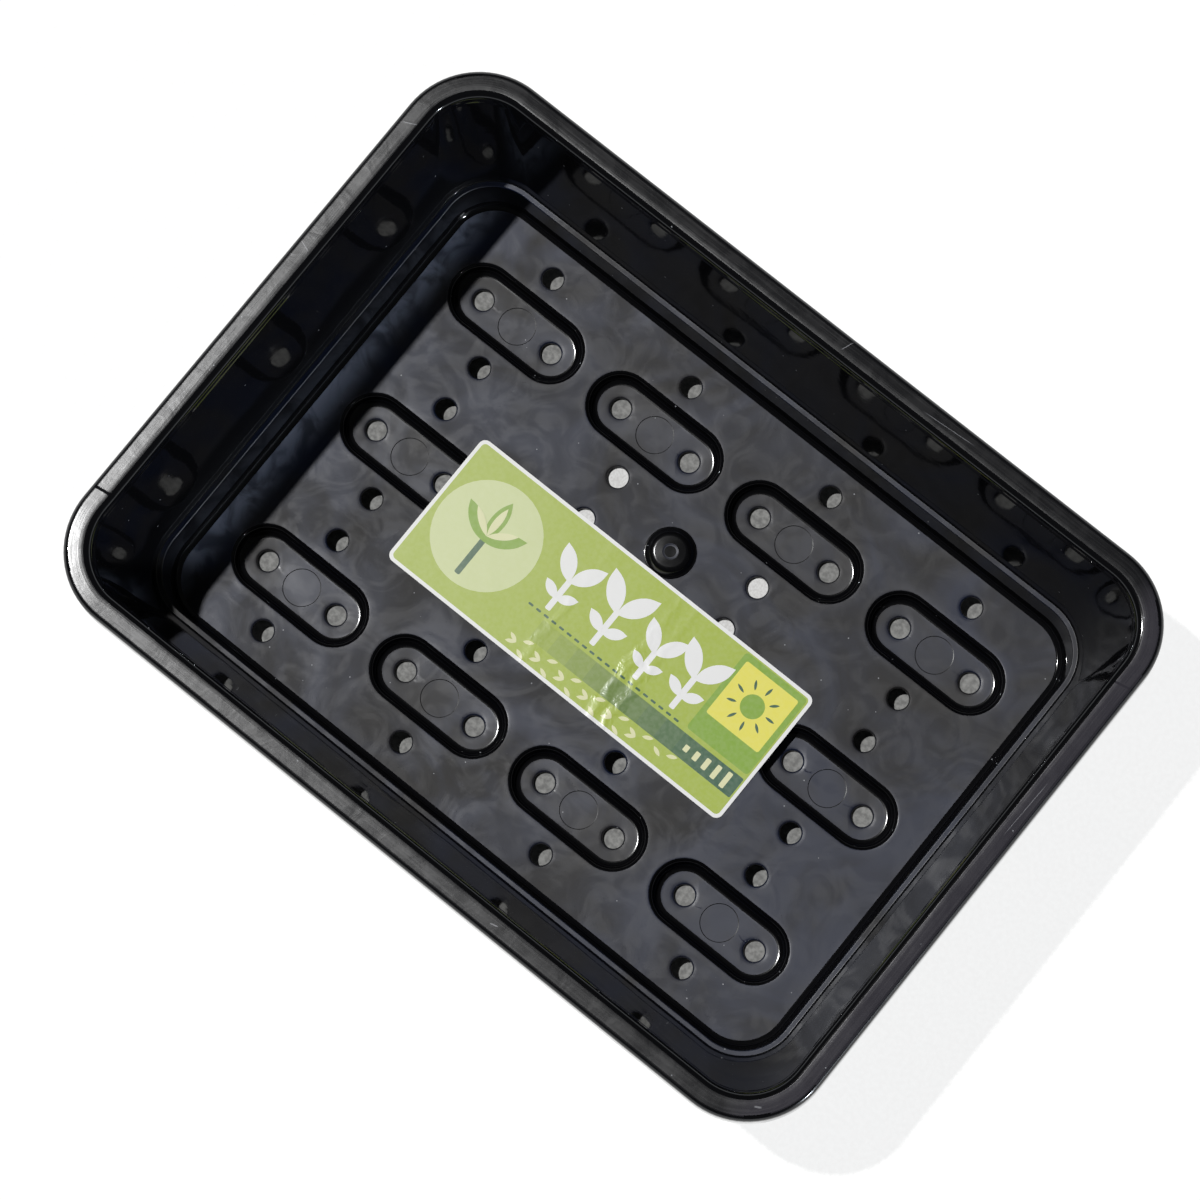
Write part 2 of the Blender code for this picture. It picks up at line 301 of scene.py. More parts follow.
def shaded(mesh, name):
    """A finished object from a mesh, smooth but for the edges that turn sharply or are marked already."""
    bmesh.ops.remove_doubles(mesh, verts=mesh.verts, dist=1e-4)
    bmesh.ops.scale(mesh, vec=(MM, MM, MM), verts=mesh.verts)
    bmesh.ops.recalc_face_normals(mesh, faces=mesh.faces)
    for face in mesh.faces:
        face.smooth = True
    for edge in mesh.edges:
        edge.smooth = edge.smooth and edge.calc_face_angle(math.pi) < SHARP_TURN
    data = bpy.data.meshes.new(name)
    mesh.to_mesh(data)
    mesh.free()
    piece = bpy.data.objects.new(name, data)
    bpy.context.scene.collection.objects.link(piece)
    return piece


# Haze is stored on the faces: 1 where the mould lies level, 0 on its polished walls, and shares on roundings.
# Tilts are in degrees from level.
LEVEL_TILT = 4.85
DISH_TILT = 10.0
FILLET_TILT = 13.0
SOFT_TILT = 20.0
CRATER_TILT = 3.5
CRATER_RADIUS = 2.5
RIM_ZONE = 2.2
BROW_INSET = 5.2
GATE_HAZE = 0.3
SOFT_HAZE = 0.8
RIM_EDGE_HAZE = 0.6
BROW_HAZE = 0.12
FILLET_HAZE = 0.3
EJECTOR_HAZE = 0.5
HOLE_BRINK_HAZE = 0.85
EJECTOR_TURN = math.radians(8)


def haze_of(face):
    """How hazy the mould left a face, by its place and its tilt."""
    middle = face.calc_center_median()
    tilt = math.degrees(math.acos(min(abs(face.normal.z), 1.0)))
    from_gate = (middle.xy - GATE_CENTRE).length
    dished = min(abs(middle.z - FLOOR_TOP + 0.1), abs(middle.z - WALL + 0.1)) < 0.1 and tilt < DISH_TILT
    near_ledge = -0.4 < middle.z - LEDGE_TOP < 0.02
    near_rim = middle.z > RIM_TOP - RIM_ZONE
    on_brow = abs(middle.x) < HALF_LENGTH - BROW_INSET and abs(middle.y) < HALF_WIDTH - BROW_INSET
    if middle.z > FLOOR_TOP + 0.03 and from_gate < GATE_RADIUS + 0.95:
        return 1.0 if from_gate < CRATER_RADIUS and tilt > CRATER_TILT else GATE_HAZE
    if tilt < LEVEL_TILT or dished:
        return 1.0
    if near_ledge or (near_rim and tilt < SOFT_TILT and not on_brow):
        return SOFT_HAZE
    if near_rim:
        return BROW_HAZE if on_brow else RIM_EDGE_HAZE
    if WALL < middle.z < WALL + 0.9 and tilt < FILLET_TILT:
        return FILLET_HAZE
    if WALL - EJECTOR_SINK - 0.01 < middle.z < WALL and tilt < SOFT_TILT:
        return EJECTOR_HAZE
    return 0.0


mesh = bmesh.new()
haze_layer = mesh.faces.layers.float.new("haze")
upper_loops = add_skin(mesh, 0.0)
lower_loops = add_skin(mesh, WALL)
for upper, lower in zip(upper_loops, lower_loops):
    bmesh.ops.bridge_loops(mesh, edges=upper + lower)
bmesh.ops.recalc_face_normals(mesh, faces=mesh.faces)
hole_brinks = [edge for loop in upper_loops[1:] for edge in loop]
other_brinks = upper_loops[0] + [edge for loop in lower_loops for edge in loop]
for brinks, width in ((other_brinks, OTHER_BRINK_ROUND), (hole_brinks, HOLE_BRINK_ROUND)):
    rounded = bmesh.ops.bevel(mesh, geom=brinks, offset=width, offset_type="OFFSET", segments=BRINK_STEPS,
                              profile=0.5, affect="EDGES", material=-1)["faces"]
mesh.normal_update()
for face in mesh.faces:
    face[haze_layer] = haze_of(face)
    if face[haze_layer] == EJECTOR_HAZE:
        for edge in face.edges:
            edge.smooth = edge.calc_face_angle(0.0) < EJECTOR_TURN
for face in rounded:
    face[haze_layer] = HOLE_BRINK_HAZE
tray = shaded(mesh, "tray_moulding")
crisp = tray.modifiers.new("crisp_flats", "WEIGHTED_NORMAL")
crisp.keep_sharp = True


def new_material(name):
    """A material with its node tree and its shader."""
    material = bpy.data.materials.new(name)
    material.use_nodes = True
    return material, material.node_tree, material.node_tree.nodes["Principled BSDF"]


def feed(tree, socket, value):
    """Set a socket to a number or a colour, or link it to another socket."""
    if isinstance(value, bpy.types.NodeSocket):
        tree.links.new(value, socket)
    else:
        socket.default_value = value


def calc(tree, operation, *values):
    """One Math node."""
    node = tree.nodes.new("ShaderNodeMath")
    node.operation = operation
    for socket, value in zip(node.inputs, values):
        feed(tree, socket, value)
    return node.outputs[0]


def ramp(tree, value, start, end, low=0.0, high=1.0):
    """A value eased from low at start to high at end."""
    node = tree.nodes.new("ShaderNodeMapRange")
    node.interpolation_type = "SMOOTHSTEP"
    sockets = ("Value", "From Min", "From Max", "To Min", "To Max")
    for name, number in zip(sockets, (value, start, end, low, high)):
        feed(tree, node.inputs[name], number)
    return node.outputs["Result"]


def blend(tree, factor, first, second):
    """Two colours mixed."""
    node = tree.nodes.new("ShaderNodeMix")
    node.data_type = "RGBA"
    feed(tree, node.inputs[0], factor)
    feed(tree, node.inputs[6], first)
    feed(tree, node.inputs[7], second)
    return node.outputs[2]


def noise(tree, vector, scale, detail, distortion=0.0):
    """A cloudy value round one half."""
    node = tree.nodes.new("ShaderNodeTexNoise")
    node.inputs["Scale"].default_value = scale
    node.inputs["Detail"].default_value = detail
    node.inputs["Distortion"].default_value = distortion
    tree.links.new(vector, node.inputs["Vector"])
    return node.outputs["Fac"]


def coordinates(tree):
    """Object coordinates in millimetres: the vector and its three parts."""
    scaled = tree.nodes.new("ShaderNodeVectorMath")
    scaled.operation = "SCALE"
    scaled.inputs["Scale"].default_value = 1 / MM
    tree.links.new(tree.nodes.new("ShaderNodeTexCoord").outputs["Object"], scaled.inputs[0])
    parts = tree.nodes.new("ShaderNodeSeparateXYZ")
    tree.links.new(scaled.outputs[0], parts.inputs[0])
    return scaled.outputs[0], *parts.outputs


def attribute(tree, name, output):
    """A value or a colour that is stored on the mesh."""
    node = tree.nodes.new("ShaderNodeAttribute")
    node.attribute_name = name
    return node.outputs[output]


def past_core(tree, x, y, half_length, half_width):
    """Distance past the core of a rounded rectangle, the same along its sides and round its corners."""
    squares = []
    for side, half in ((x, half_length), (y, half_width)):
        past = calc(tree, "MAXIMUM", calc(tree, "SUBTRACT", calc(tree, "ABSOLUTE", side), half), 0.0)
        squares.append(calc(tree, "POWER", past, 2.0))
    return calc(tree, "SQRT", calc(tree, "ADD", *squares))


def scratch(tree, vector, x, y, angle, half_length, half_width):
    """A straight fine mark on a level face, seen as 1 on the mark."""
    placed = tree.nodes.new("ShaderNodeMapping")
    placed.vector_type = "TEXTURE"
    placed.inputs["Location"].default_value = (x, y, 0.0)
    placed.inputs["Rotation"].default_value = (0.0, 0.0, math.radians(angle))
    tree.links.new(vector, placed.inputs["Vector"])
    parts = tree.nodes.new("ShaderNodeSeparateXYZ")
    tree.links.new(placed.outputs[0], parts.inputs[0])
    along = ramp(tree, calc(tree, "ABSOLUTE", parts.outputs[0]), half_length * 0.6, half_length, 1.0, 0.0)
    across = ramp(tree, calc(tree, "ABSOLUTE", parts.outputs[1]), half_width * 0.4, half_width, 1.0, 0.0)
    return calc(tree, "MULTIPLY", along, across)


WALL_BLACK = (0.0025, 0.0025, 0.003, 1.0)
FLOOR_CHARCOAL = (0.010, 0.009, 0.009, 1.0)
FLOOR_BLUE_BLACK = (0.003, 0.007, 0.025, 1.0)
FOOT_DUST_AND_PAINTED_GLOW = (0.26, 0.29, 0.38, 1.0)
INSERT_RING = (0.006, 0.006, 0.008, 1.0)
RIM_BLACK = (0.005, 0.005, 0.006, 1.0)
RIM_PAINTED_HIGHLIGHT = (0.028, 0.026, 0.032, 1.0)
SCRATCH_GREY = (0.16, 0.16, 0.17, 1.0)
DUST_GREY = (0.30, 0.31, 0.33, 1.0)
WALL_ROUGHNESS = 0.06
FLOOR_ROUGHNESS = 0.675
FLOW_GLOSS = 0.21
RIM_ROUGHNESS = 0.175
SCUFF_ROUGHNESS = 0.045
BLOTCH_ROUGHNESS = 0.18
CUT_GLOSS = 0.24
WELD_REACH = 7.0
BLOOM_START = -88.0
BLOOM_END = -96.5
RING_X = 34.0
RING_Y = 23.6
RING_RADIUS = 4.0
SCUFFS_ACROSS = 2.2
SCUFFS_ALONG = 0.035
WAVE_HEIGHT = 0.0001

# Scratches and cuts on the rim: place along and across the tray, angle, half length and half width.
SCRATCHES = (
    (-111.3, 58.9, 25, 2.2, 0.16), (-111.8, 18.7, -20, 1.8, 0.14), (-109.5, 75.3, 50, 1.6, 0.15),
    (-112.0, -30.0, 85, 6.0, 0.10), (8.0, 82.3, 70, 2.0, 0.14), (40.0, 81.5, 4, 8.0, 0.09),
    (30.0, -81.6, 15, 1.2, 0.20), (106.3, -75.8, 30, 1.0, 0.30), (111.9, 20.0, 88, 9.0, 0.09),
)
CUTS = ((-112.0, -59.3, 8, 7.5, 0.55), (111.9, 58.2, 12, 4.5, 0.32))

black, tree, shader = new_material("black_plastic")
vector, x, y, z = coordinates(tree)
haze = attribute(tree, "haze", "Fac")
on_rim = ramp(tree, z, RIM_TOP - 4, RIM_TOP - 2)

# Flow clouds on the floor, paler round each cell where the plastic closed behind the mould's core.
column = calc(tree, "WRAP", calc(tree, "SUBTRACT", x, CELL_PITCH / 2), CELL_PITCH / 2, -CELL_PITCH / 2)
row = calc(tree, "WRAP", y, LANE_WIDTH / 2, -LANE_WIDTH / 2)
from_axis = past_core(tree, column, row, (CELL_LENGTH - CELL_WIDTH) / 2, 0.0)
from_cell = calc(tree, "SUBTRACT", from_axis, CELL_WIDTH / 2)
brink = ramp(tree, from_cell, 0.2, 2.2, 1.0, 0.0)
clouds = ramp(tree, noise(tree, vector, 0.030, 5.0, 1.4), 0.32, 0.68)
streaks = ramp(tree, noise(tree, vector, 0.085, 6.0, 2.5), 0.40, 0.66)
flow = calc(tree, "ADD", calc(tree, "MULTIPLY", clouds, 0.70), calc(tree, "MULTIPLY", streaks, 0.45))
flow = calc(tree, "ADD", flow, calc(tree, "MULTIPLY", brink, 0.30))
wobble = calc(tree, "MULTIPLY", calc(tree, "SUBTRACT", noise(tree, vector, 0.25, 2.0), 0.5), 5.0)
weld = ramp(tree, calc(tree, "ABSOLUTE", calc(tree, "ADD", row, wobble)), 0.05, 0.45, 0.7, 0.0)
from_weld = calc(tree, "ABSOLUTE", calc(tree, "SUBTRACT", calc(tree, "ABSOLUTE", column), WELD_REACH))
flow = calc(tree, "ADD", flow, calc(tree, "MULTIPLY", weld, ramp(tree, from_weld, 1.0, 1.8, 1.0, 0.0)))
floor_colour = blend(tree, clouds, FLOOR_CHARCOAL, FLOOR_BLUE_BLACK)

# A pale bluish band along the foot of one short wall, partly dust and partly painted glow of sky light, and a
# faint ring left by an insert of the mould.
low_down = ramp(tree, z, FLOOR_TOP + 1.0, FLOOR_TOP + 0.5)
foot = calc(tree, "MULTIPLY", ramp(tree, x, BLOOM_START, BLOOM_END), low_down)
foot = calc(tree, "MULTIPLY", foot, ramp(tree, noise(tree, vector, 0.12, 3.0, 1.0), 0.30, 0.62, 0.25, 1.0))
# Painted glow and dust: the floor turns pale bluish towards the foot of one short wall.
floor_colour = blend(tree, foot, floor_colour, FOOT_DUST_AND_PAINTED_GLOW)
to_ring = past_core(tree, calc(tree, "SUBTRACT", x, RING_X), calc(tree, "SUBTRACT", y, RING_Y), 0.0, 0.0)
ring = ramp(tree, calc(tree, "ABSOLUTE", calc(tree, "SUBTRACT", to_ring, RING_RADIUS)), 0.1, 0.4, 0.35, 0.0)
floor_colour = blend(tree, ring, floor_colour, INSERT_RING)

# The rim is handled most: fine scuffs along it and a few scratches across it, and one short side is painted
# paler, a painted highlight for the light that falls there.
from_edge = past_core(tree, x, y, HALF_LENGTH - WALL_CORNERS[0], HALF_WIDTH - WALL_CORNERS[0])
scuffed = tree.nodes.new("ShaderNodeCombineXYZ")
feed(tree, scuffed.inputs[0], calc(tree, "MULTIPLY", from_edge, SCUFFS_ACROSS))
feed(tree, scuffed.inputs[1], calc(tree, "MULTIPLY", calc(tree, "ADD", x, y), SCUFFS_ALONG))
feed(tree, scuffed.inputs[2], calc(tree, "MULTIPLY", calc(tree, "SUBTRACT", x, y), SCUFFS_ALONG))
scuffs = ramp(tree, noise(tree, scuffed.outputs[0], 1.0, 4.0), 0.40, 0.70)
marks = 0.0
for mark in SCRATCHES:
    marks = calc(tree, "MAXIMUM", marks, scratch(tree, vector, *mark))
cuts = calc(tree, "MAXIMUM", *[scratch(tree, vector, *cut) for cut in CUTS])
# Painted highlight: the rim's colour turns paler towards one short side.
rim_colour = blend(tree, ramp(tree, x, 98.0, 107.0), RIM_BLACK, RIM_PAINTED_HIGHLIGHT)
rim_colour = blend(tree, marks, rim_colour, SCRATCH_GREY)
hazed_colour = blend(tree, on_rim, floor_colour, rim_colour)

# Dust specks lie on everything.
specks = tree.nodes.new("ShaderNodeTexVoronoi")
specks.inputs["Scale"].default_value = 0.19
feed(tree, specks.inputs["Vector"], vector)
dust = ramp(tree, specks.outputs["Distance"], 0.024, 0.042, 0.8, 0.0)
level = ramp(tree, haze, 0.6, 0.9)
colour = blend(tree, level, WALL_BLACK, hazed_colour)
feed(tree, shader.inputs["Base Color"], blend(tree, dust, colour, DUST_GREY))

# The floor is glossier where the plastic flowed, the rim is blotched by handling, and the walls are polished.
floor_rough = calc(tree, "SUBTRACT", FLOOR_ROUGHNESS, calc(tree, "MULTIPLY", flow, FLOW_GLOSS))
blotches = calc(tree, "MULTIPLY", noise(tree, vector, 0.16, 5.0, 0.8), BLOTCH_ROUGHNESS)
rim_rough = calc(tree, "ADD", calc(tree, "MULTIPLY", scuffs, SCUFF_ROUGHNESS), blotches)
rim_rough = calc(tree, "ADD", rim_rough, RIM_ROUGHNESS)
rim_rough = calc(tree, "SUBTRACT", rim_rough, calc(tree, "MULTIPLY", cuts, CUT_GLOSS))
level_rough = calc(tree, "ADD", calc(tree, "MULTIPLY", floor_rough, calc(tree, "SUBTRACT", 1.0, on_rim)),
                   calc(tree, "MULTIPLY", rim_rough, on_rim))
polish = calc(tree, "MULTIPLY", calc(tree, "SUBTRACT", 1.0, haze), WALL_ROUGHNESS)
feed(tree, shader.inputs["Roughness"], calc(tree, "ADD", calc(tree, "MULTIPLY", level_rough, haze), polish))

# Walls and floor bow a little as they shrink in the mould, and the rim has fine ripples.
ripples = calc(tree, "ADD", noise(tree, vector, 0.20, 3.0, 0.8), calc(tree, "MULTIPLY", scuffs, 0.2))
ripples = calc(tree, "MULTIPLY", ripples, calc(tree, "MULTIPLY", on_rim, level))
ripples = calc(tree, "MULTIPLY", ripples, 0.36)
sway = calc(tree, "MULTIPLY", noise(tree, vector, 0.028, 2.0, 0.4), ramp(tree, on_rim, 0.0, 1.0, 3.2, 0.5))
swell = calc(tree, "ADD", sway, calc(tree, "MULTIPLY", noise(tree, vector, 0.09, 3.0, 0.6), 0.35))
waves = tree.nodes.new("ShaderNodeBump")
waves.inputs["Strength"].default_value = 1.0
waves.inputs["Distance"].default_value = WAVE_HEIGHT
feed(tree, waves.inputs["Height"], calc(tree, "ADD", swell, ripples))
feed(tree, shader.inputs["Normal"], waves.outputs["Normal"])
tray.data.materials.append(black)
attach(tray, "root")
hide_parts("tray")

# Label
# A self-adhesive film on the floor, white at its edge, printed in greens and yellow with rows of seedlings.
# Each ink lies as a thin layer on the film, and the film has a few creases across it.
label_low, label_high = [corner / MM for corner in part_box("label")]
label_half = (label_high - label_low) / 2
label_centre = ((label_low + label_high) / 2).xy
LABEL_CORNER = 2.0
SHEET_CORNER_STEPS = 6
PANEL_CORNER_STEPS = 5
SPOT_SIDES = 48

WHITE = (0.84, 0.84, 0.84, 1.0)
LIME = (0.39, 0.485, 0.075, 1.0)
LEAF = (0.24, 0.40, 0.05, 1.0)
BOTTLE = (0.05, 0.125, 0.075, 1.0)
PALE = (0.62, 0.68, 0.36, 1.0)
STRAW = (0.74, 0.74, 0.44, 1.0)
YELLOW = (0.80, 0.74, 0.12, 1.0)
WORN_INK = (0.80, 0.82, 0.70, 1.0)
PAINTED_SHEEN_INK = (0.80, 0.82, 0.60, 1.0)
INK_GAP = 0.002
INK_STEP = 0.012
INK_DEPTH = 0.010

# Places on the label, from its centre.
PRINT_MARGIN = 0.95
ROUNDEL_X = -37.5
ROUNDEL_Y = 0.3
BADGE_X = 43.0
BADGE_Y = 8.4
BADGE_HALF = 8.4
BED_Y = -4.8
DASHES_Y = -6.3
BAND_Y = -10.4
BAND_END = 52.9
BAND_TONES = 12
LEAVES_Y = -15.0
SUN_RAYS = 9


def add_sheet(mesh, low, high, corner):
    """A thin flat sheet with round corners between two corners of its box."""
    half = (high - low) / 2
    centre = ((low + high) / 2).xy
    loops = [rounded_loop(mesh, half.x, half.y, corner, height, centre, SHEET_CORNER_STEPS)
             for height in (low.z, high.z)]
    bmesh.ops.bridge_loops(mesh, edges=loops[0] + loops[1])
    for loop in loops:
        bmesh.ops.edgeloop_fill(mesh, edges=loop)


def print_ink(mesh, shape, layer, ink):
    """One area of ink: a flat shape in label coordinates, laid on the film or on the ink below it."""
    known = set(mesh.faces)
    edges = shape(Matrix.Translation((*label_centre, label_high.z + INK_STEP * layer + INK_GAP)))
    plate = bmesh.ops.edgeloop_fill(mesh, edges=edges)["faces"]
    raised = bmesh.ops.extrude_face_region(mesh, geom=plate, use_keep_orig=True)["geom"]
    bmesh.ops.translate(mesh, verts=[item for item in raised if isinstance(item, bmesh.types.BMVert)],
                        vec=(0.0, 0.0, INK_DEPTH))
    for face in mesh.faces:
        if face not in known:
            face[ink_layer] = ink


def panel(x, y, half_length, half_width, corner):
    """A rounded rectangle of ink."""
    def shape(base):
        return rounded_loop(mesh, half_length, half_width, corner, base.translation.z,
                            base.translation.xy + Vector((x, y)), PANEL_CORNER_STEPS)
    return shape


def spot(x, y, radius):
    """A round of ink."""
    def shape(base):
        centre = base.translation.xy + Vector((x, y))
        return round_loop(mesh, radius, base.translation.z, centre, SPOT_SIDES)
    return shape


def leaf(x, y, angle, length, width):
    """A leaf with two points: a lozenge whose side corners are rounded away."""
    turn = Matrix.Rotation(math.radians(angle), 4, "Z")

    def shape(base):
        known = set(mesh.faces)
        place = base @ Matrix.Translation((x, y, 0.0)) @ turn @ Matrix.Translation((length / 2, 0.0, 0.0))
        place = place @ Matrix.Diagonal((length / 2, width, 1.0, 1.0))
        made = bmesh.ops.create_circle(mesh, cap_ends=True, segments=4, radius=1.0, matrix=place)["verts"]
        flanks = sorted(made, key=lambda vert: abs((place.inverted() @ vert.co).x))[:2]
        bmesh.ops.bevel(mesh, geom=flanks, offset=0.45 * length, offset_type="OFFSET", segments=8,
                        profile=0.5, affect="VERTICES", material=-1)
        face = next(face for face in mesh.faces if face not in known)
        edges = list(face.edges)
        bmesh.ops.delete(mesh, geom=[face], context="FACES_ONLY")
        return edges
    return shape


def seedling(x, y, height, ink):
    """A stem with a pair of open leaves and a smaller pair under it."""
    print_ink(mesh, panel(x, y + height * 0.29, 0.8, height * 0.29, 0.4), 1, ink)
    for layer, angle in ((2, 52), (3, 128)):
        print_ink(mesh, leaf(x, y + height * 0.50, angle, height * 0.60, height * 0.22), layer, ink)
    for layer, angle in ((2, 30), (3, 150)):
        print_ink(mesh, leaf(x, y + height * 0.20, angle, height * 0.34, height * 0.13), layer, ink)


mesh = bmesh.new()
ink_layer = mesh.faces.layers.float_color.new("ink")
add_sheet(mesh, label_low, label_high, LABEL_CORNER)
for face in mesh.faces:
    face[ink_layer] = WHITE

# The green ground, with a darker panel for the badge and a band that darkens towards it.
print_ink(mesh, panel(0.0, 0.0, label_half.x - PRINT_MARGIN, label_half.y - PRINT_MARGIN, 1.2), 0, LIME)
print_ink(mesh, panel(BADGE_X, 6.2, 9.9, label_half.y - 7.5, 1.0), 1, LEAF)
for step in range(BAND_TONES):
    share = step / (BAND_TONES - 1)
    tone = [dark + (pale - dark) * (1 - share) ** 1.6 for dark, pale in zip(BOTTLE, LIME)]
    half = 35.6 - step * 2.9
    print_ink(mesh, panel(BAND_END - half, BAND_Y, half, 3.0, 0.4), 1 + share * 0.9, tone)

# A bed of seedlings over a dashed line.
for x, height in ((-13.5, 17.5), (1.0, 20.0), (15.0, 16.0), (27.0, 18.5)):
    seedling(x, BED_Y, height, WHITE)
for step in range(20):
    print_ink(mesh, panel(-17.5 + step * 2.5, DASHES_Y, 0.75, 0.3, 0.25), 1, BOTTLE)

# A roundel with one large seedling, and two rows of small leaves.
print_ink(mesh, spot(ROUNDEL_X, ROUNDEL_Y, 14.6), 1, PALE)
print_ink(mesh, panel(ROUNDEL_X, -6.4, 0.8, 5.6, 0.4), 2, BOTTLE)
for layer, angle, length in ((3, 90, 12.5), (4, 36, 11.5), (5, 144, 11.5)):
    print_ink(mesh, leaf(ROUNDEL_X, -1.4, angle, length, length * 0.30), layer, LEAF)
    print_ink(mesh, leaf(ROUNDEL_X, 0.2, angle, length * 0.72, length * 0.16), layer + 3, STRAW)
for row in (0, 1):
    for step in range(14 - 3 * row):
        turn = 25 if (step + row) % 2 else -25
        print_ink(mesh, leaf(-17.0 + step * 3.9, LEAVES_Y - row * 2.5, turn, 3.0, 0.95), 1 + row, STRAW)

# A badge with a sun, and five bars on the band.
print_ink(mesh, panel(BADGE_X, BADGE_Y, BADGE_HALF, BADGE_HALF, 0.6), 2, YELLOW)
print_ink(mesh, spot(BADGE_X, BADGE_Y, 3.2), 3, LEAF)
for step in range(SUN_RAYS):
    angle = step * 360 / SUN_RAYS
    spoke = Matrix.Rotation(math.radians(angle), 2) @ Vector((4.2, 0.0))
    print_ink(mesh, leaf(BADGE_X + spoke.x, BADGE_Y + spoke.y, angle, 2.8, 0.7), 3, BOTTLE)
for step in range(5):
    print_ink(mesh, panel(36.6 + step * 3.2, BAND_Y, 0.7, 0.9 + step * 0.35, 0.3), 3, STRAW)
label = shaded(mesh, "label_film")

film, tree, shader = new_material("printed_film")
vector, x, y, _ = coordinates(tree)
ink = attribute(tree, "ink", "Color")
grain = ramp(tree, noise(tree, vector, 0.9, 4.0), 0.3, 0.7, 0.0, 0.06)
# Painted sheen: the film's colour is mixed paler towards one end.
painted_sheen = ramp(tree, x, -50.0, 20.0, 0.08, 0.0)
worn = blend(tree, grain, ink, WORN_INK)
feed(tree, shader.inputs["Base Color"], blend(tree, painted_sheen, worn, PAINTED_SHEEN_INK))
shader.inputs["Roughness"].default_value = 0.28

# Creases run across the film at three places, with their share of the full depth.
CREASES = ((10.0, 1.0), (14.5, 0.8), (-12.0, 0.35))
CREASE_HEIGHT = 0.00016
wander = calc(tree, "MULTIPLY", calc(tree, "SUBTRACT", noise(tree, vector, 0.20, 3.0, 0.5), 0.5), 6.0)
creases = 0.0
for middle, depth in CREASES:
    off = calc(tree, "ABSOLUTE", calc(tree, "SUBTRACT", calc(tree, "ADD", x, wander), middle))
    creases = calc(tree, "ADD", creases, ramp(tree, off, 0.0, 2.2, depth, 0.0))
creases = calc(tree, "MULTIPLY", creases, ramp(tree, y, 2.0, -10.0, 0.25, 1.0))
creases = calc(tree, "ADD", creases, calc(tree, "MULTIPLY", noise(tree, vector, 0.12, 3.0), 0.5))
crumple = tree.nodes.new("ShaderNodeBump")
crumple.inputs["Strength"].default_value = 0.8
crumple.inputs["Distance"].default_value = CREASE_HEIGHT
feed(tree, crumple.inputs["Height"], creases)
feed(tree, shader.inputs["Normal"], crumple.outputs["Normal"])
label.data.materials.append(film)
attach(label, "root")
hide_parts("label")

# Underside sticker
# Plain white self-adhesive paper with round corners. It is stuck under the floor, between two rows of feet,
# and shows through four of the floor's holes.
STICKER_CORNER = 1.5
PAPER_SHADE = (0.60, 0.59, 0.58, 1.0)
PAPER_WHITE = (0.74, 0.74, 0.73, 1.0)
sticker_low, sticker_high = [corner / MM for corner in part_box("underside_sticker")]
mesh = bmesh.new()
add_sheet(mesh, sticker_low, sticker_high, STICKER_CORNER)
sticker = shaded(mesh, "sticker_paper")
paper, tree, shader = new_material("white_paper")
vector = coordinates(tree)[0]
fibres = ramp(tree, noise(tree, vector, 1.6, 6.0), 0.3, 0.7)
feed(tree, shader.inputs["Base Color"], blend(tree, fibres, PAPER_SHADE, PAPER_WHITE))
shader.inputs["Roughness"].default_value = 0.65
sticker.data.materials.append(paper)
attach(sticker, "root")
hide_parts("underside_sticker")

# Stage
# A floor that is plain grey ground under the tray and lifted to a white backdrop round it, a sun-like key
# from beyond one short side, a low lamp from beyond the other, and a sky, dark overhead and white low down.
STAGE_HALF = 30000.0
STAGE_DROP = 0.05
GRIT_DARK = (0.17, 0.17, 0.166, 1.0)
GRIT_PALE = (0.29, 0.29, 0.28, 1.0)
GROUND_HALF_LENGTH = 84.0
GROUND_HALF_WIDTH = 54.0
BACKDROP_LIFT = 0.84
SKY_COLOUR = (0.92, 0.96, 1.0, 1.0)
mesh = bmesh.new()
bmesh.ops.create_grid(mesh, x_segments=1, y_segments=1, size=STAGE_HALF)
bmesh.ops.translate(mesh, verts=mesh.verts, vec=(0.0, 0.0, -STAGE_DROP))
floor = shaded(mesh, "floor")


def seen_directly(tree):
    """1 for rays that show the backdrop: from the camera, a reflection or glass."""
    path = tree.nodes.new("ShaderNodeLightPath").outputs
    seen = calc(tree, "MAXIMUM", path["Is Camera Ray"], path["Is Glossy Ray"])
    return calc(tree, "MAXIMUM", seen, path["Is Transmission Ray"])


ground, tree, shader = new_material("pale_floor")
vector, x, y, _ = coordinates(tree)
grit = ramp(tree, noise(tree, vector, 0.8, 5.0), 0.3, 0.7)
feed(tree, shader.inputs["Base Color"], blend(tree, grit, GRIT_DARK, GRIT_PALE))
shader.inputs["Roughness"].default_value = 0.9
shader.inputs["Specular IOR Level"].default_value = 0.0
outside = ramp(tree, past_core(tree, x, y, GROUND_HALF_LENGTH, GROUND_HALF_WIDTH), 10.0, 17.0)
shader.inputs["Emission Color"].default_value = (1.0, 1.0, 1.0, 1.0)
lift = calc(tree, "MULTIPLY", calc(tree, "MULTIPLY", outside, seen_directly(tree)), BACKDROP_LIFT)
feed(tree, shader.inputs["Emission Strength"], lift)
floor.data.materials.append(ground)


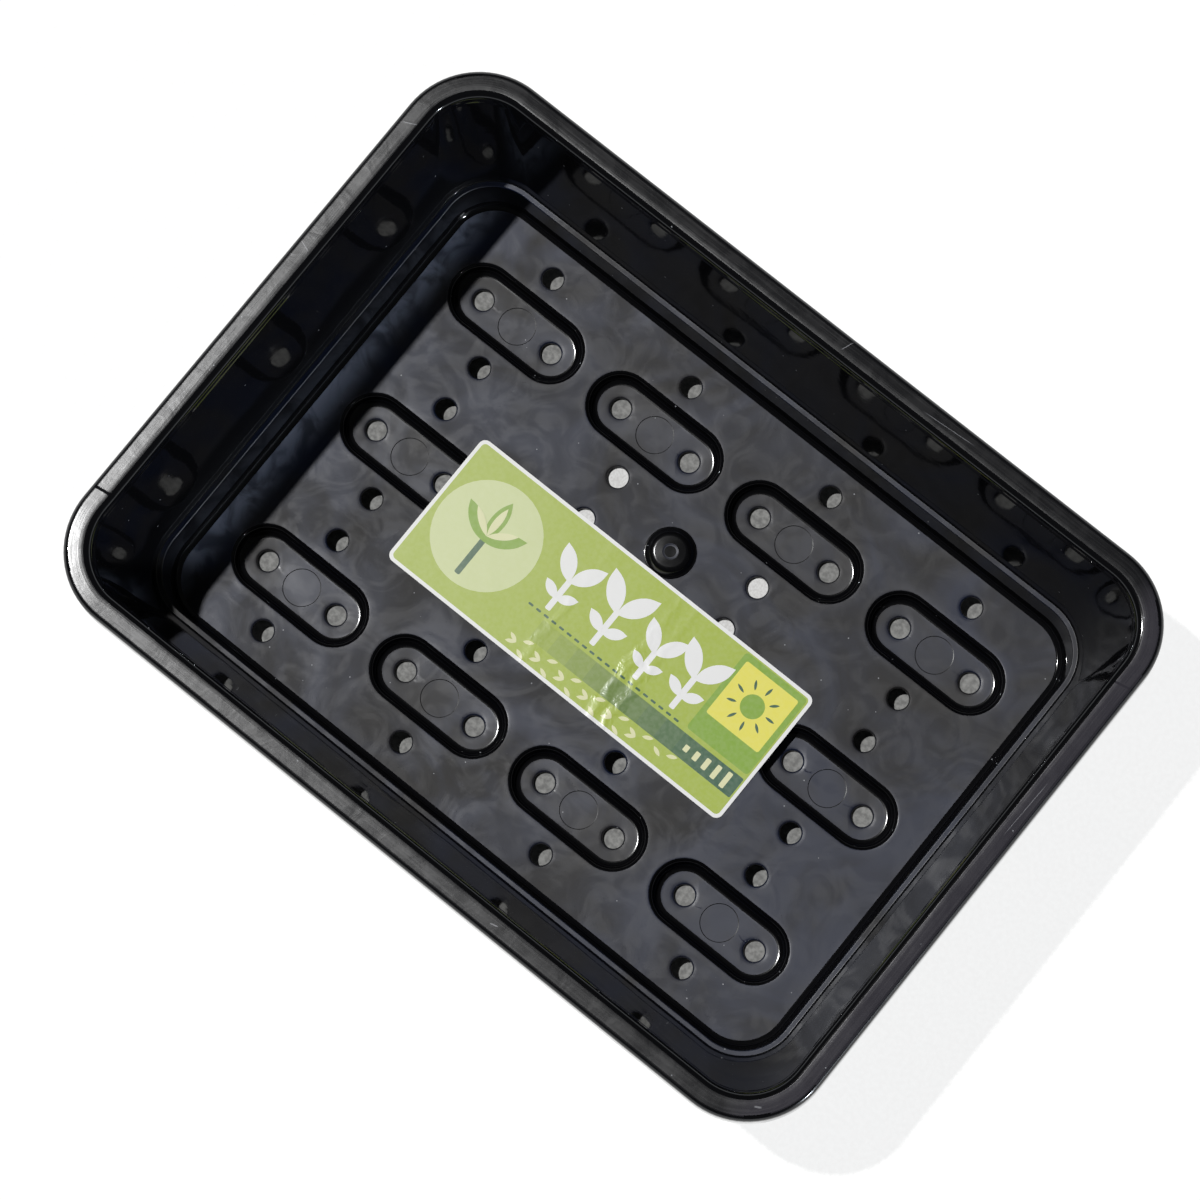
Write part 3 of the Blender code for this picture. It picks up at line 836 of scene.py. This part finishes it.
def hang_lamp(name, strength, width, colour, towards):
    """A far lamp, by the direction from the tray to it and the angle in degrees that it seems wide."""
    data = bpy.data.lights.new(name, "SUN")
    data.energy = strength
    data.angle = math.radians(width)
    data.color = colour
    lamp = bpy.data.objects.new(name, data)
    lamp.matrix_world = Vector(towards).to_track_quat("Z", "Y").to_matrix().to_4x4()
    bpy.context.scene.collection.objects.link(lamp)


hang_lamp("key", 3.0, 1.5, (1.0, 1.0, 1.0), (-0.383, -0.08, 0.92))
hang_lamp("low_side", 2.3, 1.6, (0.85, 0.92, 1.0), (0.955, -0.10, 0.2603))

world = bpy.data.worlds.new("sky")
world.use_nodes = True
tree = world.node_tree
aim = tree.nodes.new("ShaderNodeSeparateXYZ")
feed(tree, aim.inputs[0], tree.nodes.new("ShaderNodeTexCoord").outputs["Generated"])
glow = ramp(tree, aim.outputs["Z"], 0.05, 0.45, 0.30, 0.03)
backdrop = calc(tree, "MULTIPLY", seen_directly(tree), ramp(tree, aim.outputs["Z"], 0.18, 0.26, 1.0, 0.0))
feed(tree, tree.nodes["Background"].inputs["Strength"], calc(tree, "MAXIMUM", glow, backdrop))
tree.nodes["Background"].inputs["Color"].default_value = SKY_COLOUR
bpy.context.scene.world = world

# Camera
# It stands above the tray and a little to one side, at the place and turn that the photograph's perspective
# gives, with a long lens.
CAMERA_PLACE = (0.12653, -0.11055, 1.09846)
CAMERA_AHEAD = (-0.1201, 0.10096, -0.98761)
PICTURE_UP = (-0.6177, 0.77119, 0.15395)
camera_data = bpy.data.cameras.new("camera")
camera_data.sensor_width = 36.0
camera_data.lens = 130.17
camera = bpy.data.objects.new("camera", camera_data)
ahead = Vector(CAMERA_AHEAD).normalized()
right = ahead.cross(Vector(PICTURE_UP)).normalized()
turn = Matrix((right, right.cross(ahead), -ahead)).transposed()
camera.matrix_world = Matrix.Translation(CAMERA_PLACE) @ turn.to_4x4()
bpy.context.scene.collection.objects.link(camera)
bpy.context.scene.camera = camera
bpy.context.scene.view_settings.view_transform = "Standard"
